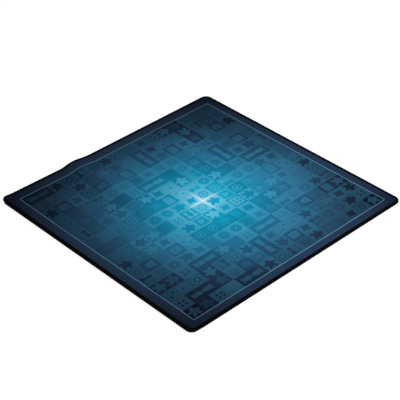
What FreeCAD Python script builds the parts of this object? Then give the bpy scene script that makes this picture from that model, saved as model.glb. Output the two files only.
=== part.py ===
"""A square tabletop game mat: printed cloth bonded to a foam rubber sheet, with an overlocked edge.

Units are millimetres. The mat lies flat on Z = 0 with its centre at the origin, +Z up through the
cloth, and +Y towards the top of the print.

The laminate is a rubber sheet, a film of hot-melt adhesive and a knitted cloth, cut flush together.
A three-thread overlock seam runs round the cut edge. Its stitches pull the soft laminate in, so the
margin under them is thinner than the rest, and the threads sit in that step: one looper thread over
the top, one under the bottom, and a needle thread along their inner ends on both faces.
"""
import FreeCAD
import Part
import os

# Driving dimensions
SIDE = 610.0                # finished width and depth, a 24 inch mat
CORNER_RADIUS = 16.0        # of the finished outline
THICKNESS = 5.0             # rubber, adhesive and cloth together, away from the seam
CLOTH = 0.38                # knitted polyester
ADHESIVE = 0.12             # hot-melt film
SEAM_WIDTH = 7.0            # from the finished edge to the inside of the needle thread
SEAM_PULL = 0.5             # how far the stitches pull each face of the laminate in
PULL_SLOPE = 1.5            # width of the slope where the pulled-in margin starts
THREAD = 0.5                # thickness of a looper thread wrapped round the cut edge
THREAD_CROWN = 0.1          # how far the top threads stand above the cloth
NEEDLE_THREAD = 0.8         # width that the needle thread's run takes
FLOOR_GAP = 0.05            # the under threads clear what the mat lies on by this much

# Worked out from those
HALF = SIDE / 2
RUBBER_TOP = THICKNESS - CLOTH - ADHESIVE
CLOTH_UNDER = THICKNESS - CLOTH
MARGIN_LOW = SEAM_PULL                  # underside of the pulled-in margin
MARGIN_TOP = THICKNESS - SEAM_PULL      # cloth face of the pulled-in margin
CUT_EDGE = THREAD                       # how far the cut edge lies inside the finished edge
SEAM_MIDDLE = (MARGIN_LOW + MARGIN_TOP) / 2
STEP_IN = SEAM_WIDTH + 0.1              # where the slope starts, just inside the needle thread
STEP_OUT = STEP_IN + PULL_SLOPE
LOOPER_END = SEAM_WIDTH - NEEDLE_THREAD


def vector(x, y, z):
    return FreeCAD.Vector(x, y, z)


def profile_face(outline):
    """A flat face in the XZ plane from points (inset, z), inset measured in from the +X edge.

    A point with four numbers is an arc: through the first pair, to the second pair.
    """
    edges = []
    start = vector(HALF - outline[0][0], 0, outline[0][1])
    first = start
    for step in outline[1:] + [outline[0][:2]]:
        end = vector(HALF - step[-2], 0, step[-1])
        if len(step) == 4:
            middle = vector(HALF - step[0], 0, step[1])
            edges.append(Part.Arc(start, middle, end).toShape())
        elif (end - start).Length > 1e-9:
            edges.append(Part.LineSegment(start, end).toShape())
        start = end
    assert (start - first).Length < 1e-9
    return Part.Face(Part.Wire(edges))


def around_the_edge(outline):
    """The outline carried once round the mat: straight along each side, turned about each corner."""
    straight = HALF - CORNER_RADIUS
    face = profile_face(outline)
    side = face.translated(vector(0, -straight, 0)).extrude(vector(0, 2 * straight, 0))
    at_corner = face.translated(vector(0, straight, 0))
    corner = at_corner.revolve(vector(straight, straight, 0), vector(0, 0, 1), 90)
    pieces = []
    for quarter in range(4):
        for piece in (side, corner):
            turned = piece.copy()
            turned.rotate(vector(0, 0, 0), vector(0, 0, 1), 90 * quarter)
            pieces.append(turned)
    return pieces[0].fuse(pieces[1:]).removeSplitter()


def layer(outline, low, high):
    """A layer of the laminate: its edge outline, which ends at the corner radius, and a flat middle."""
    middle = 2 * (HALF - CORNER_RADIUS)
    plate = Part.makeBox(middle, middle, high - low, vector(-middle / 2, -middle / 2, low))
    return around_the_edge(outline).fuse(plate).removeSplitter()


def rubber_base():
    """The foam rubber sheet, stepped in on both faces where the seam grips it."""
    under_film = MARGIN_TOP - CLOTH - ADHESIVE
    outline = [
        (CUT_EDGE, MARGIN_LOW),
        (STEP_IN, MARGIN_LOW),
        (STEP_OUT, 0),
        (CORNER_RADIUS, 0),
        (CORNER_RADIUS, RUBBER_TOP),
        (STEP_OUT, RUBBER_TOP),
        (STEP_IN, under_film),
        (CUT_EDGE, under_film),
    ]
    return layer(outline, 0, RUBBER_TOP)


def laid_sheet(top, depth):
    """A thin sheet over the rubber: its upper face at top away from the seam, and depth thick."""
    margin = top - SEAM_PULL
    outline = [
        (CUT_EDGE, margin - depth),
        (STEP_IN, margin - depth),
        (STEP_OUT, top - depth),
        (CORNER_RADIUS, top - depth),
        (CORNER_RADIUS, top),
        (STEP_OUT, top),
        (STEP_IN, margin),
        (CUT_EDGE, margin),
    ]
    return layer(outline, top - depth, top)


def looper_thread(face, outside):
    """A looper thread's wraps as one band: from the seam's middle, round the edge, onto a face.

    face is the height of the laminate's margin there, and outside the height of the thread's far
    side, above the face for the upper thread and below it for the lower one.
    """
    bend = abs(outside - face)
    to_middle = 1 if SEAM_MIDDLE > outside else -1
    corner = bend * (1 - 2 ** -0.5)
    outline = [
        (0, SEAM_MIDDLE),
        (0, outside + to_middle * bend),
        (corner, outside + to_middle * corner, bend, outside),
        (LOOPER_END, outside),
        (LOOPER_END, face),
        (CUT_EDGE, face),
        (CUT_EDGE, SEAM_MIDDLE),
    ]
    return around_the_edge(outline)


def needle_run(low, high):
    """The needle thread along one face, just inside the looper thread's ends."""
    outline = [
        (LOOPER_END, low),
        (SEAM_WIDTH, low),
        (SEAM_WIDTH, high),
        (LOOPER_END, high),
    ]
    return around_the_edge(outline)


def needle_thread():
    """Its runs on both faces. The short passes through the mat between them are left out."""
    top = needle_run(MARGIN_TOP, THICKNESS)
    under = needle_run(FLOOR_GAP, MARGIN_LOW)
    return Part.makeCompound([top, under])


NODES = {
    "rubber_base": rubber_base(),
    "adhesive_film": laid_sheet(CLOTH_UNDER, ADHESIVE),
    "printed_cloth": laid_sheet(THICKNESS, CLOTH),
    "upper_looper_thread": looper_thread(MARGIN_TOP, THICKNESS + THREAD_CROWN),
    "lower_looper_thread": looper_thread(MARGIN_LOW, FLOOR_GAP),
    "needle_thread": needle_thread(),
}

os.makedirs("parts", exist_ok=True)
for name, shape in NODES.items():
    assert shape.isValid() and all(solid.isClosed() for solid in shape.Solids), name
    print(name, len(shape.Solids), "solid(s)", round(shape.Volume, 1), "mm3", shape.BoundBox)
    shape.exportStep(f"parts/{name}.step")
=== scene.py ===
"""A square tabletop game mat, unrolled on a table, with the ripple that rolling has left in it.

The mat's layers and its seam are rebuilt round the frame as they lie: the printed cloth, the film
under it, the foam rubber, and the three threads of the overlocked edge, stitch by stitch. All of
them follow one height, which is nothing where the mat lies flat.
"""

import math

import bpy
import numpy as np
from mathutils import Matrix, Vector
from mathutils.geometry import delaunay_2d_cdt


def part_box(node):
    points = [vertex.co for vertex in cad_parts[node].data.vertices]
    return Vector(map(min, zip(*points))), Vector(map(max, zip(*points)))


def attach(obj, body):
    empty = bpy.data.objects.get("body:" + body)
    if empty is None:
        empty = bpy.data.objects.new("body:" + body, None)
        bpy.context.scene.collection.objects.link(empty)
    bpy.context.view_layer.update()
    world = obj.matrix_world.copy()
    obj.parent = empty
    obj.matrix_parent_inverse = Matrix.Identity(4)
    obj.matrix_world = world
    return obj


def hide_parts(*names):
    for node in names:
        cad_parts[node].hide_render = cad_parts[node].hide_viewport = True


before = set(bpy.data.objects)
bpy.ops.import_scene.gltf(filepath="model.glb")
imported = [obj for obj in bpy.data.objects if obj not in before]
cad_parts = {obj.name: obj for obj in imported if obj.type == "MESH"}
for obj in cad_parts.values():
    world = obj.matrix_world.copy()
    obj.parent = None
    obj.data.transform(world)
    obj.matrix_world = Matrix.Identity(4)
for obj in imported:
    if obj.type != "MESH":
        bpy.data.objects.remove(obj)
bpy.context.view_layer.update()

# The mat's sizes, in metres
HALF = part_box("upper_looper_thread")[1].x       # from the centre to the finished edge
CUT_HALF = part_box("printed_cloth")[1].x         # to the cut edge of the layers, inside the threads
CORNER_RADIUS = 0.016
CLOTH_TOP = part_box("printed_cloth")[1].z
CLOTH_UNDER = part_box("adhesive_film")[1].z
RUBBER_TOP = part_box("rubber_base")[1].z
SEAM_PULL = RUBBER_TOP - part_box("adhesive_film")[0].z   # how far the stitches pull each face in
NEEDLE_HALF = 0.0004        # half the width that the needle thread's run takes
NEEDLE_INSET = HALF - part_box("needle_thread")[1].x + NEEDLE_HALF    # how far in that thread runs
STEP_IN = NEEDLE_INSET + 0.0005     # inset where the pulled-in margin ends
STEP_OUT = STEP_IN + 0.0015         # inset where the layers are full thickness
MESH_STEP = 0.006           # spacing of the layers' mesh points
MICRONS = 1e6               # in a metre

# The ripple, and the edge and corner that curl up a little
RIPPLE_Y = -0.107
RIPPLE_HEIGHT = 0.0048
RIPPLE_STEEP = 0.036        # its width on the side towards -Y
RIPPLE_GENTLE = 0.050       # and on the other side
RIPPLE_FADE = (-0.07, 0.09)     # it dies out between these, inward from the -X edge
EDGE_LIFT = 0.0023          # of the -Y edge
EDGE_REACH = 0.035
CORNER_LIFT = 0.0022        # of the corner between -X and -Y
CORNER_REACH = 0.20

# The print
PRINT_CENTRE = (0.0030, 0.0019)
LINE_HALF = 0.2774          # outside of the pale line
LINE_WIDTH = 0.0011
LINE_RADIUS = 0.0025
PRINT_HALF = LINE_HALF - LINE_WIDTH
TILES = 16
TILE = 2 * PRINT_HALF / TILES
TILE_STEPS = 6
PALEST = 9                  # the highest tone in the table, which runs from 0, the darkest
MIDDLE_TONE = 0.55          # the share of that where the middle run of blues stands
TILE_RIM = 0.05             # twice the width of the thin pale line round each tile, in tiles
LEAN = 0.0050               # how far the middle columns stand towards +X of an even spacing
CENTRE = (PRINT_CENTRE[0] + LEAN, PRINT_CENTRE[1])
ARM_LENGTH = 0.062          # of the glint at the centre
ARM_WIDTH = 0.003
ARM_STRENGTH = 0.5
GLOW_REACH = 0.05           # of the glow round it, as a share of the print's half width
GLOW_STRENGTH = 0.12
KNIT_ROWS = 1100            # scales of the wave textures that stand for the knit
KNIT_COURSES = 1400

# The overlock seam
STITCH = 0.0019
LOOPER_WIDTH = 0.00104      # the looper threads are lofty, and lie flattened
LOOPER_DEPTH = 0.00054
NEEDLE_DEPTH = 0.00044
LOOPER_OVERLAP = 0.00015    # how far each looper reaches past the middle of the edge
THREAD_SIDES = 6
UNEVEN_SHARE = 0.025        # spreads of the stitches: along the edge, in stitches
UNEVEN_INSET = 0.00004      # inward
UNEVEN_HEIGHT = 0.00001     # and up

# The room and the view
FLOOR_HALF = 12.0
FLOOR_DROP = 0.00002        # below the mat's underside, so that the two don't share a plane
FLOOR_GLOW = 0.92           # the even part of the floor's light, which stops under the mat
SURROUND = 0.85             # strength of the white all round
VIEW_AZIMUTH = 48.195       # degrees
VIEW_ELEVATION = 35.82
VIEW_ROLL = -1.907
VIEW_DISTANCE = 2.882
VIEW_LENS = 120.9           # millimetres


# ---------------------------------------------------------------- how the mat lies

def ease(low, high, value):
    share = np.clip((value - low) / (high - low), 0, 1)
    return share * share * (3 - 2 * share)


def lift(x, y):
    """How far the mat stands off the table at points in plan."""
    away = y - RIPPLE_Y
    width = np.where(away < 0, RIPPLE_STEEP, RIPPLE_GENTLE)
    crest = np.cos(np.clip(away / width, -1, 1) * math.pi / 2) ** 2
    ripple = RIPPLE_HEIGHT * crest * (1 - ease(*RIPPLE_FADE, x))
    edge = EDGE_LIFT * (1 - ease(0, EDGE_REACH, y + HALF))
    corner = CORNER_LIFT * (1 - ease(0, CORNER_REACH, np.hypot(x + HALF, y + HALF)))
    return ripple + edge + corner


def inset(x, y):
    """How far points in plan lie inside the finished edge."""
    straight = HALF - CORNER_RADIUS
    past_x = np.abs(x) - straight
    past_y = np.abs(y) - straight
    outside = np.hypot(np.maximum(past_x, 0), np.maximum(past_y, 0))
    return CORNER_RADIUS - outside - np.minimum(np.maximum(past_x, past_y), 0)


def face_height(points, height, pull):
    """The height of a layer's face: pulled in under the seam, and following the mat's lie."""
    x, y = points.T
    pulled = pull * (1 - ease(STEP_IN, STEP_OUT, inset(x, y)))
    return height + pulled + lift(x, y)


def rounded_square(half, radius, spacing, centre=(0, 0)):
    """Points round a square with rounded corners, evenly spaced along the sides."""
    straight = half - radius
    side_steps = max(1, round(2 * straight / spacing))
    turn_steps = max(4, round(math.pi / 2 * radius / spacing))
    points = []
    for quarter in range(4):
        turn = Matrix.Rotation(math.pi / 2 * quarter, 2)
        for step in range(side_steps):
            along = -straight + 2 * straight * step / side_steps
            points.append(turn @ Vector((half, along)))
        for step in range(turn_steps):
            angle = math.pi / 2 * step / turn_steps
            arm = Vector((math.cos(angle), math.sin(angle))) * radius
            points.append(turn @ (Vector((straight, straight)) + arm))
    return [(p.x + centre[0], p.y + centre[1]) for p in points]


# ---------------------------------------------------------------- meshes

def painted(outlines, loose=()):
    """Flat outlines painted each over the last, as triangles.

    Returns the points, the triangles, and which outline shows in each. loose are more points that
    the triangles pass through.
    """
    points = [Vector(point) for outline in outlines for point in outline]
    loops = []
    start = 0
    for outline in outlines:
        loops.append(list(range(start, start + len(outline))))
        start += len(outline)
    points += [Vector(point) for point in loose]
    inside_outlines = 1
    too_close = 1e-7
    made = delaunay_2d_cdt(points, [], loops, inside_outlines, too_close)
    return np.array([tuple(p) for p in made[0]]), made[2], [max(owners) for owners in made[5]]


def add_piece(name, points, faces, materials, face_materials=None):
    """A smooth mesh object; face_materials says which of the materials each face has."""
    mesh = bpy.data.meshes.new(name)
    mesh.from_pydata(np.asarray(points).tolist(), [], faces)
    for material in materials:
        mesh.materials.append(material)
    if face_materials is not None:
        mesh.polygons.foreach_set("material_index", face_materials)
    mesh.polygons.foreach_set("use_smooth", [True] * len(faces))
    mesh.update()
    piece = bpy.data.objects.new(name, mesh)
    bpy.context.scene.collection.objects.link(piece)
    return piece


def upward(points, faces):
    """The same faces, each turned to face +Z."""
    turned = []
    for face in faces:
        a, b, c = (points[i] for i in face[:3])
        across = (b[0] - a[0]) * (c[1] - a[1]) - (b[1] - a[1]) * (c[0] - a[0])
        turned.append(list(face) if across > 0 else list(face)[::-1])
    return turned


def mesh_grid(half, keep):
    """The points of a square grid in plan that keep says yes to."""
    steps = int(half / MESH_STEP)
    ticks = np.arange(-steps, steps + 1) * MESH_STEP
    x, y = (part.ravel() for part in np.meshgrid(ticks, ticks))
    kept = keep(x, y)
    return np.stack([x[kept], y[kept]], axis=1).tolist()


def edge_rings():
    """The layers' outline, and the two lines where their faces step in under the seam."""
    rings = [rounded_square(CUT_HALF, CORNER_RADIUS - (HALF - CUT_HALF), MESH_STEP)]
    for step in (STEP_IN, STEP_OUT):
        rings.append(rounded_square(HALF - step, CORNER_RADIUS - step, MESH_STEP))
    return rings


def slab(name, material, top, top_pull, under, under_pull):
    """A layer of the mat as a closed solid, from two faces and the rim between them."""
    rings = edge_rings()
    well_inside = mesh_grid(HALF, lambda x, y: inset(x, y) > STEP_OUT + MESH_STEP / 2)
    plan, faces, _ = painted(rings, well_inside)
    faces = upward(plan, faces)
    upper = np.column_stack([plan, face_height(plan, top, top_pull)])
    lower = np.column_stack([plan, face_height(plan, under, under_pull)])
    count = len(plan)
    faces_under = [[i + count for i in face[::-1]] for face in faces]
    rim = rim_faces(faces, count)
    return add_piece(name, np.vstack([upper, lower]), faces + faces_under + rim, [material])


def rim_faces(faces, count):
    """Quads from a face's open edges to their copies, which come count later in the points."""
    edges = set()
    for face in faces:
        for a, b in zip(face, face[1:] + face[:1]):
            edges.add((a, b))
    return [[b, a, a + count, b + count] for a, b in edges if (b, a) not in edges]


# ---------------------------------------------------------------- the print's motifs
# Each draws a board game piece in a tile one unit wide with its centre at the origin, as outlines
# painted each over the last, with their tones.

def soft(points):
    """An outline with its corners cut twice, so that few points make a round shape."""
    for _ in range(2):
        cut = []
        for a, b in zip(points, points[1:] + points[:1]):
            cut.append((0.75 * a[0] + 0.25 * b[0], 0.75 * a[1] + 0.25 * b[1]))
            cut.append((0.25 * a[0] + 0.75 * b[0], 0.25 * a[1] + 0.75 * b[1]))
        points = cut
    return points


def mirrored(half):
    """A whole outline from the points of its left half, from the top down."""
    return half + [(-x, y) for x, y in reversed(half) if x < 0]


def polygon(sides, radius, x=0.0, y=0.0, turn=0.0):
    angles = [turn + 2 * math.pi * k / sides for k in range(sides)]
    return [(x + radius * math.cos(a), y + radius * math.sin(a)) for a in angles]


def disc(radius, x=0.0, y=0.0):
    return polygon(12 if radius < 0.12 else 24, radius, x, y)


def panel(width, height, x=0.0, y=0.0, corner=0.0, lean=0.0):
    """A rectangle, its corners rounded to a radius, turned by lean degrees."""
    turn = math.radians(lean)
    steps = 4 if corner else 1
    points = []
    for quarter, (side_x, side_y) in enumerate([(1, 1), (-1, 1), (-1, -1), (1, -1)]):
        for step in range(steps):
            angle = math.pi / 2 * (quarter + step / max(1, steps - 1))
            px = side_x * (width / 2 - corner) + corner * math.cos(angle)
            py = side_y * (height / 2 - corner) + corner * math.sin(angle)
            points.append((x + px * math.cos(turn) - py * math.sin(turn),
                           y + px * math.sin(turn) + py * math.cos(turn)))
    return points


FIGURE = soft(mirrored([
    (0.0, 0.42), (-0.13, 0.41), (-0.16, 0.24), (-0.2, 0.19), (-0.42, 0.13), (-0.43, -0.02),
    (-0.21, -0.04), (-0.24, -0.14), (-0.38, -0.4), (-0.12, -0.4), (0.0, -0.2)]))
PAWN = soft(mirrored([
    (0.0, 0.38), (-0.12, 0.37), (-0.14, 0.19), (-0.06, 0.15), (-0.07, -0.04), (-0.11, -0.17),
    (-0.19, -0.22), (-0.19, -0.38), (0.0, -0.38)]))
CUP = soft(mirrored([
    (0.0, 0.3), (-0.35, 0.32), (-0.35, 0.2), (-0.28, 0.18), (-0.22, -0.31), (0.0, -0.33)]))
BULBS = soft(mirrored([
    (0.0, 0.68), (-0.17, 0.68), (-0.18, 0.3), (-0.14, 0.1), (-0.04, 0.04), (-0.04, -0.04),
    (-0.14, -0.1), (-0.18, -0.3), (-0.17, -0.68), (0.0, -0.68)]))


def shifted(outline, x, y=0.0):
    return [(px + x, py + y) for px, py in outline]


def divided(outline):
    """The same outline with its long sides divided, so that they can follow the ripple."""
    points = []
    for a, b in zip(outline, outline[1:] + outline[:1]):
        parts = math.ceil(math.dist(a, b) * TILE_STEPS)
        for k in range(parts):
            points.append((a[0] + (b[0] - a[0]) * k / parts, a[1] + (b[1] - a[1]) * k / parts))
    return points


def figure(ground, ink):
    return [(FIGURE, ink)]


def pawns(ground, ink, left=1.0, right=0.35):
    """Two pawns side by side, each this much of the way from the ground's tone to the ink's."""
    return [(shifted(PAWN, -0.22), ground + (ink - ground) * left),
            (shifted(PAWN, 0.22), ground + (ink - ground) * right)]


def pawns_mirrored(ground, ink):
    return pawns(ground, ink, left=-0.35, right=1.0)


def pawns_alike(ground, ink):
    return pawns(ground, ink, left=1.0, right=1.0)


def ring(ground, ink):
    """A ring in the ink, round a pale middle and inside a pale band."""
    return [(disc(0.35), ground + 2), (disc(0.26), ink), (disc(0.13), ground + 2)]


def nut(ground, ink):
    """A pale nut with six sides, with a dark hole and a bolt's end in it."""
    return [(polygon(6, 0.37), ink), (disc(0.22), ground - 1), (disc(0.12), ink + 1)]


def chip(ground, ink):
    """A gaming chip: a disc with marks round its rim, and a dot in a dark ring."""
    marks = [(polygon(4, 0.05, 0.33 * math.cos(a), 0.33 * math.sin(a), a), (ground + ink) / 2)
             for a in np.arange(8) * math.pi / 4]
    return [(disc(0.38), ink), *marks, (disc(0.15), ink - 1), (disc(0.08), max(ground, ink) + 1.5)]


def pips(ground, ink):
    return [(disc(0.078, x, y), ink) for x in (-0.14, 0.14) for y in (-0.16, 0.16)]


def die(ground, ink):
    return [(panel(0.8, 0.8, corner=0.14), ink), *pips(ink, ground)]


def card(ground, ink, width=0.64, height=0.72, lean=0.0):
    """A playing card with a diamond on it."""
    diamond = polygon(4, 0.13, turn=math.radians(lean))
    return [(panel(width, height, corner=0.1, lean=lean), ink), (diamond, ink - 1)]


def leaning_card(ground, ink):
    return card(ground, ink - 0.5, width=0.56, height=0.62, lean=-16)


def notes(ground, ink):
    """A wide panel ruled with lines."""
    rules = [(panel(0.5, 0.04, 0, y), ink - 1.2) for y in (-0.16, 0, 0.16)]
    return [(panel(0.74, 0.6, corner=0.08), ink), *rules]


def cup(ground, ink):
    """A dice cup with two bands."""
    return [(CUP, ink - 0.5), *[(panel(0.36, 0.05, 0, y), ink - 1.5) for y in (0.04, -0.12)]]


def jigsaw(ground, ink):
    """A jigsaw piece, leaning, with a knob on each side."""
    sides = math.radians(30) + np.arange(4) * math.pi / 2
    knobs = [(disc(0.1, 0.27 * math.cos(a), 0.27 * math.sin(a)), ink) for a in sides]
    return [(panel(0.4, 0.4, corner=0.04, lean=30), ink), *knobs]


def framed_jigsaw(ground, ink):
    return [(panel(0.8, 0.8), ground + 1.5), (panel(0.68, 0.68), ground), *jigsaw(ground, ink)]


def triangle(ground, ink):
    """A square in the darker tone with a pale triangle standing in it."""
    dark, pale = min(ground, ink), max(ground, ink) + 1
    outer = polygon(3, 0.27, 0, -0.05, math.pi / 2)
    inner = polygon(3, 0.11, 0, -0.05, math.pi / 2)
    return [(panel(0.78, 0.78), dark + 1), (panel(0.7, 0.7), dark), (outer, pale), (inner, dark)]


def plain(ground, ink):
    return []


def hourglass(ground, ink):
    """Two tiles tall."""
    caps = [(panel(0.5, 0.08, 0, y), ink) for y in (0.73, -0.73)]
    sand = [(panel(0.24, 0.05, 0, y), ink - 1.5) for y in (0.4, -0.5)]
    return [*caps, (BULBS, ink), *sand]


def domino(ground, ink):
    """Two tiles tall, one pip over two."""
    spots = [(0, 0.42), (-0.17, -0.26), (0.17, -0.58)]
    return [(panel(0.76, 1.66, corner=0.1), ground + 1), (panel(0.76, 0.05), ground),
            *[(disc(0.09, x, y), ink) for x, y in spots]]


MOTIFS = {
    "f": figure, "p": pawns, "q": pawns_mirrored, "s": pawns_alike, "o": ring, "x": nut, "t": chip,
    "4": pips, "d": die, "c": card, "k": leaning_card, "r": notes, "u": cup, "z": jigsaw,
    "e": framed_jigsaw, "a": triangle, ".": plain, "h": hourglass, "2": domino,
}
TALL = "h2"

# The print, row by row from its top. Each tile is a motif, the quarter turns it is given to the
# left, and the tones of its ground and its ink. A tile marked ---- is the second half of a tall
# motif in the tile above it, or to its left where that is turned.
PATTERN = """
o042 c054 f151 o054 a054 q152 4051 .050 f246 f061 o043 p052 f016 f361 4061 f106
.040 x035 k026 .050 c026 f052 h027 z062 2364 ---- .060 f062 r016 z062 f051 o042
4051 p352 o054 t054 f253 z062 ---- f163 r047 z074 d057 t065 .040 f046 t054 z051
f013 f316 z014 4061 h127 ---- 4062 t075 .060 f058 z046 t076 u027 a054 t054 f054
f016 2053 z073 f057 r056 f174 .030 t075 k057 a057 f038 q063 x046 f062 p052 a044
o042 ---- r026 .050 k036 x026 f029 q073 x027 f082 z034 f135 t076 2064 z062 f051
z052 z151 f153 t065 t075 q163 t084 t046 a074 d018 k083 z074 h037 ---- c026 t043
.040 h126 ---- 4062 .020 f129 q073 x083 f091 z082 r015 f053 ---- z063 f352 p151
o043 2153 ---- z074 h038 2184 ---- z091 x085 f029 f025 t084 4073 h126 ---- o042
f051 z053 r036 f053 ---- e082 r017 f072 s118 a083 x026 t074 .040 f362 a054 f161
t043 f046 .040 t065 4062 f028 f025 t084 4082 f082 x036 p054 f037 x046 k025 h016
p151 a043 u025 t065 .020 a054 x035 t074 .030 2174 ---- z074 h026 p352 t065 ----
o031 f051 o032 p052 f026 f063 x046 p054 f047 e074 c036 f063 ---- f316 f114 .070
f141 2042 z063 f145 r044 f153 q054 x046 f273 f057 .050 t064 4061 o052 h016 4060
h014 ---- c025 .030 k035 x035 .050 k034 a054 a045 u026 t054 f014 2051 ---- f013
---- a034 f141 o043 o043 p351 t044 .030 f245 f051 o042 p051 f015 ---- 4060 f105
"""


def on_mat(x, y):
    """A point of the print, measured from the middle of the pale line, in the mat's plan."""
    leaned = x + LEAN * (1 - (x / PRINT_HALF) ** 2)
    return (leaned + PRINT_CENTRE[0], y + PRINT_CENTRE[1])


def tile_faces(code, row, column):
    """One motif's tile, or pair of tiles: its points in plan, its triangles, and their tones."""
    motif, turns, ground, ink = code[0], int(code[1]), int(code[2]), int(code[3])
    tall = 2 if motif in TALL else 1
    wide, high = (tall, 1) if turns % 2 else (1, tall)
    middle_x = -PRINT_HALF + (column + wide / 2) * TILE
    middle_y = PRINT_HALF - (row + high / 2) * TILE
    across, up = wide * TILE_STEPS, high * TILE_STEPS
    grid = [(i, j) for j in range(up + 1) for i in range(across + 1)]
    border = [(i, 0) for i in range(across)] + [(across, j) for j in range(up)]
    border += [(across - i, up) for i in range(across)] + [(0, up - j) for j in range(up)]
    loose = [point for point in grid if 0 < point[0] < across and 0 < point[1] < up]

    def from_steps(point):
        return on_mat(middle_x + (point[0] / across - 0.5) * wide * TILE,
                      middle_y + (point[1] / up - 0.5) * high * TILE)

    def from_motif(point):
        turned = Matrix.Rotation(math.pi / 2 * turns, 2) @ Vector(point)
        return on_mat(middle_x + turned.x * TILE, middle_y + turned.y * TILE)

    shapes = [(panel(1 - TILE_RIM, tall - TILE_RIM), ground), *MOTIFS[motif](ground, ink)]
    outlines = [[from_steps(point) for point in border]]
    outlines += [[from_motif(point) for point in divided(outline)] for outline, _ in shapes]
    tones = [ground + 1] + [tone for _, tone in shapes]
    points, faces, owners = painted(outlines, [from_steps(point) for point in loose])
    return points, faces, [tones[owner] for owner in owners]


def border_faces():
    """The cloth outside the print: plain border and pale line. Tones are 0 there, and 1 on the line."""
    rings = edge_rings()
    rings.append(rounded_square(LINE_HALF, LINE_RADIUS, MESH_STEP, PRINT_CENTRE))
    ticks = [-PRINT_HALF + TILE * step / TILE_STEPS for step in range(TILES * TILE_STEPS)]
    square = [(t, -PRINT_HALF) for t in ticks] + [(PRINT_HALF, t) for t in ticks]
    square += [(-t, PRINT_HALF) for t in ticks] + [(-PRINT_HALF, -t) for t in ticks]
    rings.append([on_mat(*point) for point in square])

    def between(x, y):
        from_print = np.maximum(abs(x - PRINT_CENTRE[0]), abs(y - PRINT_CENTRE[1]))
        return (inset(x, y) > STEP_OUT + MESH_STEP / 2) & (from_print > LINE_HALF + MESH_STEP / 2)

    points, faces, owners = painted(rings, mesh_grid(HALF, between))
    print_owner, line_owner = len(rings) - 1, len(rings) - 2
    kept = [k for k, owner in enumerate(owners) if owner != print_owner]
    return points, [faces[k] for k in kept], [int(owners[k] == line_owner) for k in kept]


def cloth(materials):
    """The printed cloth, from its tiles and border, with its edge turned down under the seam."""
    parts = [(False, tile_faces(code, row, column))
             for row, line in enumerate(PATTERN.split("\n")[1:-1])
             for column, code in enumerate(line.split()) if code != "----"]
    parts.append((True, border_faces()))
    points, faces, tones, face_materials = [], [], [], []
    for is_border, (part_points, part_faces, part_tones) in parts:
        start = sum(len(p) for p in points)
        points.append(part_points)
        faces += [[i + start for i in face] for face in part_faces]
        tones += [0 if is_border else tone for tone in part_tones]
        face_materials += [1 + tone if is_border else 0 for tone in part_tones]
    plan = np.vstack(points)
    _, first, welded = np.unique(np.round(plan * MICRONS).astype(int), axis=0,
                                 return_index=True, return_inverse=True)
    plan = plan[first]
    welded = welded.ravel()
    faces = upward(plan, [[int(welded[i]) for i in face] for face in faces])
    upper = np.column_stack([plan, face_height(plan, CLOTH_TOP, -SEAM_PULL)])
    count = len(plan)
    rim = rim_faces(faces, count)
    edge_points = sorted({i for quad in rim for i in quad if i >= count})
    renumbered = {old: count + new for new, old in enumerate(edge_points)}
    rim = [[renumbered.get(i, i) for i in quad] for quad in rim]
    edge = upper[[i - count for i in edge_points]] - (0, 0, CLOTH_TOP - CLOTH_UNDER)
    piece = add_piece("printed_cloth_sheet", np.vstack([upper, edge]), faces + rim, materials,
                      face_materials + [1] * len(rim))
    tone = piece.data.attributes.new("tone", "FLOAT", "FACE")
    tone.data.foreach_set("value", np.array(tones + [0] * len(rim), dtype=np.float32) / PALEST)
    return piece


# ---------------------------------------------------------------- the seam's threads

def along_edge(distance):
    """Points on the finished edge at these distances along it, and which way is outward there."""
    straight = HALF - CORNER_RADIUS
    side = 2 * straight
    quarter_length = side + math.pi / 2 * CORNER_RADIUS
    quarter = np.floor(distance / quarter_length)
    along = distance - quarter * quarter_length
    angle = np.clip((along - side) / CORNER_RADIUS, 0, math.pi / 2)
    x = straight + CORNER_RADIUS * np.cos(angle)
    y = np.where(along < side, -straight + along, straight + CORNER_RADIUS * np.sin(angle))
    turn = quarter * math.pi / 2
    cos, sin = np.cos(turn), np.sin(turn)
    point = np.stack([x * cos - y * sin, x * sin + y * cos], axis=1)
    outward = np.stack([np.cos(angle + turn), np.sin(angle + turn)], axis=1)
    return point, outward


def stitched(name, steps, width, depth, material, seed):
    """A thread carried round the mat, each stitch through the same steps.

    A step is the share of the stitch along the edge, the inset and the height.
    """
    length = 4 * (2 * (HALF - CORNER_RADIUS) + math.pi / 2 * CORNER_RADIUS)
    count = round(length / STITCH)
    shares, insets, heights = np.array(steps).T
    uneven = np.random.default_rng(seed)
    shares = shares + np.arange(count)[:, None] + uneven.normal(0, UNEVEN_SHARE, (count, len(steps)))
    insets = insets + uneven.normal(0, UNEVEN_INSET, (count, 1))
    heights = heights + uneven.normal(0, UNEVEN_HEIGHT, (count, 1))
    point, outward = along_edge(np.mod(shares.ravel() * length / count, length))
    plan = point - outward * insets.reshape(-1, 1)
    path = np.column_stack([plan, heights.ravel() + lift(*plan.T)])
    edge_way = np.column_stack([-outward[:, 1], outward[:, 0], np.zeros(len(plan))])
    return ribbon(name, path, edge_way, width, depth, material)


def unit(vectors):
    return vectors / np.maximum(np.linalg.norm(vectors, axis=1), 1e-9)[:, None]


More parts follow.
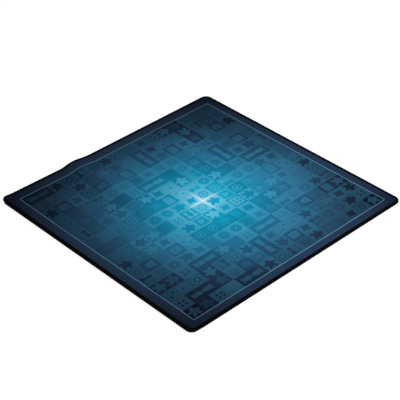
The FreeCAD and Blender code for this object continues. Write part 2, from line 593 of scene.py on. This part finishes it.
def ribbon(name, path, way, width, depth, material):
    """A closed thread along a path, oval across, its width lying as near as it can to a way."""
    tangents = unit(np.roll(path, -1, axis=0) - np.roll(path, 1, axis=0))
    aside = np.cross(tangents, (0.0, 0.0, 1.0))
    along_way = np.abs(np.sum(tangents * way, axis=1))[:, None]
    wide = np.where(along_way < 0.9, way, aside)
    wide = unit(wide - tangents * np.sum(wide * tangents, axis=1)[:, None])
    deep = np.cross(tangents, wide)
    angles = (np.arange(THREAD_SIDES) + 0.5) * 2 * math.pi / THREAD_SIDES
    rings = [path + width / 2 * math.cos(a) * wide + depth / 2 * math.sin(a) * deep for a in angles]
    points = np.stack(rings, axis=1).reshape(-1, 3)
    count = len(path)
    here = np.arange(count)[:, None] * THREAD_SIDES
    following = np.roll(here, -1, axis=0)
    lane = np.arange(THREAD_SIDES)
    next_lane = np.roll(lane, -1)
    faces = np.stack([here + lane, here + next_lane, following + next_lane, following + lane], axis=2)
    return add_piece(name, points, faces.reshape(-1, 4).tolist(), [material])


def looper_steps(flat, round_edge, turn):
    """One stitch of a looper thread: out from the needle over a face, round to the edge and back.

    flat is the thread's height over the face, round_edge its height where it leaves the face, and
    turn its height where it turns back on the edge.
    """
    down = np.linspace(round_edge, turn, 4)
    rim = LOOPER_DEPTH / 2
    out = [(0.14, NEEDLE_INSET - 0.0006, flat), (0.24, NEEDLE_INSET - 0.0018, flat),
           (0.25, 0.0011, flat), (0.25, 0.0005, (flat * 2 + down[0]) / 3), (0.26, rim, down[1])]
    back = [(1 - share, inset_there, height) for share, inset_there, height in reversed(out)]
    return [(0.0, NEEDLE_INSET, flat), *out, (0.5, rim, turn), *back]


def seam(material):
    """The three threads."""
    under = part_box("lower_looper_thread")[0].z
    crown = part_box("upper_looper_thread")[1].z
    margin_top = CLOTH_TOP - SEAM_PULL
    over_flat = crown - LOOPER_DEPTH / 2
    under_flat = under + LOOPER_DEPTH / 2
    middle = (SEAM_PULL + margin_top) / 2
    upper_steps = looper_steps(over_flat, margin_top, middle - LOOPER_OVERLAP)
    lower_steps = looper_steps(under_flat, SEAM_PULL, middle + LOOPER_OVERLAP)
    lower_steps = [(share + 0.5, *rest) for share, *rest in lower_steps]
    upper = stitched("upper_looper_stitches", upper_steps, LOOPER_WIDTH, LOOPER_DEPTH, material, 1)
    lower = stitched("lower_looper_stitches", lower_steps, LOOPER_WIDTH, LOOPER_DEPTH, material, 2)
    over = crown - NEEDLE_DEPTH / 2
    beneath = under + NEEDLE_DEPTH / 2
    needle_steps = [
        (0.03, NEEDLE_INSET, margin_top), (0.15, NEEDLE_INSET + 0.0001, over - 0.0001),
        (0.5, NEEDLE_INSET + 0.0002, over), (0.85, NEEDLE_INSET + 0.0001, over - 0.0001),
        (0.97, NEEDLE_INSET, margin_top), (0.98, NEEDLE_INSET, SEAM_PULL),
        (0.8, NEEDLE_INSET - 0.0003, beneath), (1.2, NEEDLE_INSET - 0.0003, beneath),
        (1.02, NEEDLE_INSET, SEAM_PULL)]
    needle = stitched("needle_stitches", needle_steps, NEEDLE_DEPTH, NEEDLE_DEPTH, material, 3)
    return upper, lower, needle


# ---------------------------------------------------------------- materials

def linear(red, green, blue):
    """A colour as it is seen on a screen, in parts of 255, as the light that it gives."""
    def channel(value):
        share = value / 255
        return share / 12.92 if share <= 0.04045 else ((share + 0.055) / 1.055) ** 2.4
    return (channel(red), channel(green), channel(blue), 1)


class Nodes:
    """A material's node tree, with short calls for the nodes used here."""

    def __init__(self, name):
        self.material = bpy.data.materials.new(name)
        self.material.use_nodes = True
        self.tree = self.material.node_tree
        self.shader = self.tree.nodes["Principled BSDF"]
        self.place = self.add("ShaderNodeTexCoord").outputs["Object"]

    def add(self, kind, **values):
        node = self.tree.nodes.new(kind)
        for key, value in values.items():
            setattr(node, key, value)
        return node

    def join(self, source, socket):
        if hasattr(source, "links"):
            self.tree.links.new(source, socket)
        else:
            socket.default_value = source

    def maths(self, operation, *sources):
        node = self.add("ShaderNodeMath", operation=operation)
        for source, socket in zip(sources, node.inputs):
            self.join(source, socket)
        return node.outputs[0]

    def remap(self, value, low, high, to_low=0.0, to_high=1.0, smooth=False):
        node = self.add("ShaderNodeMapRange", interpolation_type="SMOOTHSTEP" if smooth else "LINEAR")
        for name, source in (("Value", value), ("From Min", low), ("From Max", high),
                             ("To Min", to_low), ("To Max", to_high)):
            self.join(source, node.inputs[name])
        return node.outputs["Result"]

    def ramp(self, value, stops):
        """Colours along a value, from stops of (place, red, green, blue)."""
        node = self.add("ShaderNodeValToRGB")
        colours = node.color_ramp.elements
        while len(colours) < len(stops):
            colours.new(0.5)
        for element, (place, *colour) in zip(colours, stops):
            element.position = place
            element.color = linear(*colour)
        self.join(value, node.inputs[0])
        return node.outputs["Color"]

    def mix(self, share, first, second, blend="MIX"):
        node = self.add("ShaderNodeMix", data_type="RGBA", blend_type=blend)
        self.join(share, node.inputs[0])
        self.join(first, node.inputs[6])
        self.join(second, node.inputs[7])
        return node.outputs[2]

    def noise(self, scale, detail=2.0):
        node = self.add("ShaderNodeTexNoise")
        node.inputs["Scale"].default_value = scale
        node.inputs["Detail"].default_value = detail
        self.join(self.place, node.inputs["Vector"])
        return node.outputs[0]

    def wave(self, scale, direction, distortion=0.0):
        node = self.add("ShaderNodeTexWave", bands_direction=direction)
        node.inputs["Scale"].default_value = scale
        node.inputs["Distortion"].default_value = distortion
        self.join(self.place, node.inputs["Vector"])
        return node.outputs[1]

    def bump(self, height, strength, distance):
        node = self.add("ShaderNodeBump")
        node.inputs["Strength"].default_value = strength
        node.inputs["Distance"].default_value = distance
        self.join(height, node.inputs["Height"])
        self.join(node.outputs[0], self.shader.inputs["Normal"])

    def surface(self, **values):
        """Sets the shader's own sockets. Underscores stand for the spaces in their names."""
        for name, value in values.items():
            self.join(value, self.shader.inputs[name.replace("_", " ")])


def from_centre(nodes):
    """How far a point is from the print's centre, as a share of the print's half width."""
    node = nodes.add("ShaderNodeVectorMath", operation="DISTANCE")
    nodes.join(nodes.place, node.inputs[0])
    node.inputs[1].default_value = (*CENTRE, CLOTH_TOP)
    return nodes.maths("DIVIDE", node.outputs["Value"], PRINT_HALF)


def from_centre_out(nodes, stops):
    """Colours from stops of (distance as from_centre gives it, red, green, blue)."""
    reach = stops[-1][0]
    return nodes.ramp(nodes.maths("DIVIDE", from_centre(nodes), reach),
                      [(distance / reach, *colour) for distance, *colour in stops])


def knit(nodes, colour):
    """The cloth's surface: rows of small stitches and a faint unevenness of ink."""
    rows = nodes.wave(KNIT_ROWS, "X", 0.6)
    courses = nodes.wave(KNIT_COURSES, "Y", 0.4)
    fibres = nodes.noise(2600)
    weave = nodes.maths("ADD", nodes.maths("MULTIPLY", rows, courses), fibres)
    nodes.bump(weave, 0.35, 0.00012)
    uneven = nodes.remap(nodes.noise(620, 3), 0.3, 0.7, 0.90, 1.08)
    patchy = nodes.remap(nodes.noise(24), 0.3, 0.7, 0.96, 1.03)
    shade = nodes.maths("MULTIPLY", uneven, patchy)
    tint = nodes.mix(1.0, colour, shade, "MULTIPLY")
    nodes.surface(Base_Color=tint, Roughness=nodes.remap(fibres, 0.3, 0.7, 0.74, 0.9),
                  Specular_IOR_Level=0.01)
    return nodes.material


def print_cloth():
    """The tiles: three runs of blues, mixed by each face's tone, and a glint at the centre."""
    nodes = Nodes("printed_tiles")
    dark = from_centre_out(nodes, [
        (0.0, 0, 118, 145), (0.15, 0, 110, 137), (0.35, 0, 87, 113), (0.55, 3, 57, 84),
        (0.75, 15, 39, 62), (0.95, 14, 24, 42), (1.15, 5, 9, 21), (1.4, 2, 5, 12)])
    middling = from_centre_out(nodes, [
        (0.0, 48, 132, 155), (0.15, 12, 119, 145), (0.35, 11, 99, 124), (0.55, 22, 80, 105),
        (0.75, 25, 65, 88), (0.95, 21, 48, 66), (1.15, 17, 37, 51), (1.4, 15, 31, 44)])
    pale = from_centre_out(nodes, [
        (0.0, 112, 150, 164), (0.15, 68, 132, 153), (0.35, 42, 112, 136), (0.55, 37, 97, 121),
        (0.75, 33, 82, 104), (0.95, 29, 68, 87), (1.15, 21, 51, 68), (1.4, 16, 41, 56)])
    tone = nodes.add("ShaderNodeAttribute", attribute_name="tone").outputs["Fac"]
    darker = nodes.mix(nodes.remap(tone, 0.0, MIDDLE_TONE), dark, middling)
    colour = nodes.mix(nodes.remap(tone, MIDDLE_TONE, 1.0), darker, pale)
    split = nodes.add("ShaderNodeSeparateXYZ")
    nodes.join(nodes.place, split.inputs[0])
    off_x = nodes.maths("ABSOLUTE", nodes.maths("SUBTRACT", split.outputs[0], CENTRE[0]))
    off_y = nodes.maths("ABSOLUTE", nodes.maths("SUBTRACT", split.outputs[1], CENTRE[1]))
    arms = []
    for across, along in ((off_x, off_y), (off_y, off_x)):
        half_width = nodes.remap(along, 0.0, ARM_LENGTH, ARM_WIDTH / 2, ARM_WIDTH / 4)
        thin = nodes.remap(across, 0.0, half_width, 1.0, 0.0)
        short = nodes.remap(along, ARM_LENGTH * 0.3, ARM_LENGTH, ARM_STRENGTH, 0.0, smooth=True)
        arms.append(nodes.maths("MULTIPLY", thin, short))
    glow = nodes.remap(from_centre(nodes), 0.0, GLOW_REACH, GLOW_STRENGTH, 0.0, smooth=True)
    glint = nodes.maths("MAXIMUM", nodes.maths("MAXIMUM", *arms), glow)
    return knit(nodes, nodes.mix(glint, colour, linear(234, 232, 236)))


def border_cloth():
    nodes = Nodes("plain_border")
    # The navy darkens towards the mat's corners: painted shade over the border's even navy print.
    return knit(nodes, from_centre_out(nodes, [
        (1.04, 20, 34, 50), (1.1, 19, 32, 48), (1.22, 17, 27, 41), (1.41, 12, 19, 31),
        (1.5, 9, 14, 24)]))


def line_cloth():
    nodes = Nodes("pale_line")
    # The pale blue darkens towards the line's corners: painted shade, as on the border.
    return knit(nodes, from_centre_out(nodes, [(1.0, 70, 109, 126), (1.4, 62, 89, 103)]))


def thread_material():
    """Textured polyester: black, with a twist across its length."""
    nodes = Nodes("overlock_thread")
    twist = nodes.wave(2600, "DIAGONAL", 2.0)
    fuzz = nodes.noise(4200, 3)
    nodes.bump(nodes.maths("ADD", twist, fuzz), 0.5, 0.0001)
    nodes.surface(Base_Color=nodes.ramp(fuzz, [(0.3, 0, 0, 0), (0.7, 3, 3, 4)]),
                  Roughness=nodes.remap(fuzz, 0.3, 0.7, 0.8, 0.95), Specular_IOR_Level=0.02)
    return nodes.material


def rubber_material():
    """Foam rubber: black and matt, pressed with a fine diamond grip."""
    nodes = Nodes("foam_rubber")
    grip = nodes.maths("MULTIPLY", nodes.wave(320, "X"), nodes.wave(320, "Y"))
    pores = nodes.noise(2200, 3)
    nodes.bump(nodes.maths("ADD", grip, nodes.maths("MULTIPLY", pores, 0.4)), 0.6, 0.0003)
    nodes.surface(Base_Color=nodes.ramp(pores, [(0.3, 18, 18, 19), (0.7, 34, 34, 35)]),
                  Roughness=nodes.remap(pores, 0.3, 0.7, 0.7, 0.9), Specular_IOR_Level=0.25)
    return nodes.material


def film_material():
    nodes = Nodes("hot_melt_film")
    cloudy = nodes.noise(180, 2)
    nodes.surface(Base_Color=nodes.ramp(cloudy, [(0.3, 205, 200, 188), (0.7, 226, 223, 214)]),
                  Roughness=nodes.remap(cloudy, 0.3, 0.7, 0.4, 0.6))
    return nodes.material


# ---------------------------------------------------------------- the room

def past_corner_centres(nodes):
    """How far a point lies outside the square through the centres of the mat's rounded corners."""
    away = nodes.add("ShaderNodeVectorMath", operation="ABSOLUTE")
    nodes.join(nodes.place, away.inputs[0])
    past = nodes.add("ShaderNodeVectorMath", operation="SUBTRACT")
    nodes.join(away.outputs[0], past.inputs[0])
    past.inputs[1].default_value = (HALF - CORNER_RADIUS, HALF - CORNER_RADIUS, 1)
    outside = nodes.add("ShaderNodeVectorMath", operation="MAXIMUM")
    nodes.join(past.outputs[0], outside.inputs[0])
    length = nodes.add("ShaderNodeVectorMath", operation="LENGTH")
    nodes.join(outside.outputs[0], length.inputs[0])
    return length.outputs["Value"]


def room():
    """A pale floor that glows evenly, except under the mat where its glow stops as a painted shadow; an
    even white surround; and one broad lamp behind the mat's right corner.
    """
    nodes = Nodes("pale_floor")
    # The glow stops just inside the mat's outline: a painted shadow on the floor under the mat's edges
    # and its ripple.
    glow = nodes.remap(past_corner_centres(nodes), CORNER_RADIUS - 0.002, CORNER_RADIUS - 0.0008,
                       0.0, FLOOR_GLOW)
    nodes.surface(Base_Color=(1 - FLOOR_GLOW, 1 - FLOOR_GLOW, 1 - FLOOR_GLOW, 1), Roughness=0.9,
                  Specular_IOR_Level=0.0, Emission_Color=(1, 1, 1, 1), Emission_Strength=glow)
    corners = [(x * FLOOR_HALF, y * FLOOR_HALF, 0) for x, y in ((-1, -1), (1, -1), (1, 1), (-1, 1))]
    floor = add_piece("floor", corners, [[0, 1, 2, 3]], [nodes.material])
    floor.location.z = -FLOOR_DROP
    world = bpy.data.worlds.new("surround")
    world.use_nodes = True
    background = world.node_tree.nodes["Background"]
    background.inputs["Color"].default_value = (1, 1, 1, 1)
    background.inputs["Strength"].default_value = SURROUND
    bpy.context.scene.world = world
    lamp = bpy.data.lights.new("soft_lamp", "AREA")
    lamp.size = 0.6
    lamp.energy = 24
    lamp_object = bpy.data.objects.new("soft_lamp", lamp)
    lamp_object.location = (0.68, 0.48, 0.7)
    lamp_object.rotation_euler = lamp_object.location.to_track_quat("Z", "Y").to_euler()
    lamp_object.visible_camera = False
    bpy.context.scene.collection.objects.link(lamp_object)
    bpy.context.scene.view_settings.view_transform = "Standard"


def camera():
    """Seen from above the corner between +X and -Y, with a long lens."""
    azimuth, elevation, roll = (math.radians(a) for a in (VIEW_AZIMUTH, VIEW_ELEVATION, VIEW_ROLL))
    target = Vector((0.0018, -0.0006, CLOTH_TOP))
    level = math.cos(elevation)
    back = Vector((math.sin(azimuth) * level, -math.cos(azimuth) * level, math.sin(elevation)))
    right = Vector((math.cos(azimuth), math.sin(azimuth), 0))
    up = back.cross(right)
    across = right * math.cos(roll) + up * math.sin(roll)
    upright = up * math.cos(roll) - right * math.sin(roll)
    lens = bpy.data.cameras.new("camera")
    lens.lens = VIEW_LENS
    lens.clip_end = 100
    made = bpy.data.objects.new("camera", lens)
    made.matrix_world = Matrix((across, upright, back)).transposed().to_4x4()
    made.location = target + back * VIEW_DISTANCE
    bpy.context.scene.collection.objects.link(made)
    bpy.context.scene.camera = made


# ---------------------------------------------------------------- the mat

def mat():
    """All six pieces, each hung on the root body, with the node that it stands for hidden. The table
    lists each piece, its node and its material's slot.
    """
    sheet = cloth([print_cloth(), border_cloth(), line_cloth()])
    film = slab("adhesive_film_layer", film_material(), CLOTH_UNDER, -SEAM_PULL,
                RUBBER_TOP, -SEAM_PULL)
    rubber = slab("foam_rubber_sheet", rubber_material(), RUBBER_TOP, -SEAM_PULL, 0.0, SEAM_PULL)
    upper, lower, needle = seam(thread_material())
    stands_for = (
        (sheet, "printed_cloth", "cloth"),
        (film, "adhesive_film", "adhesive"),
        (rubber, "rubber_base", "rubber"),
        (upper, "upper_looper_thread", "thread"),
        (lower, "lower_looper_thread", "thread"),
        (needle, "needle_thread", "thread"),
    )
    for piece, node, slot in stands_for:
        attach(piece, "root")
        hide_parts(node)


mat()
room()
camera()
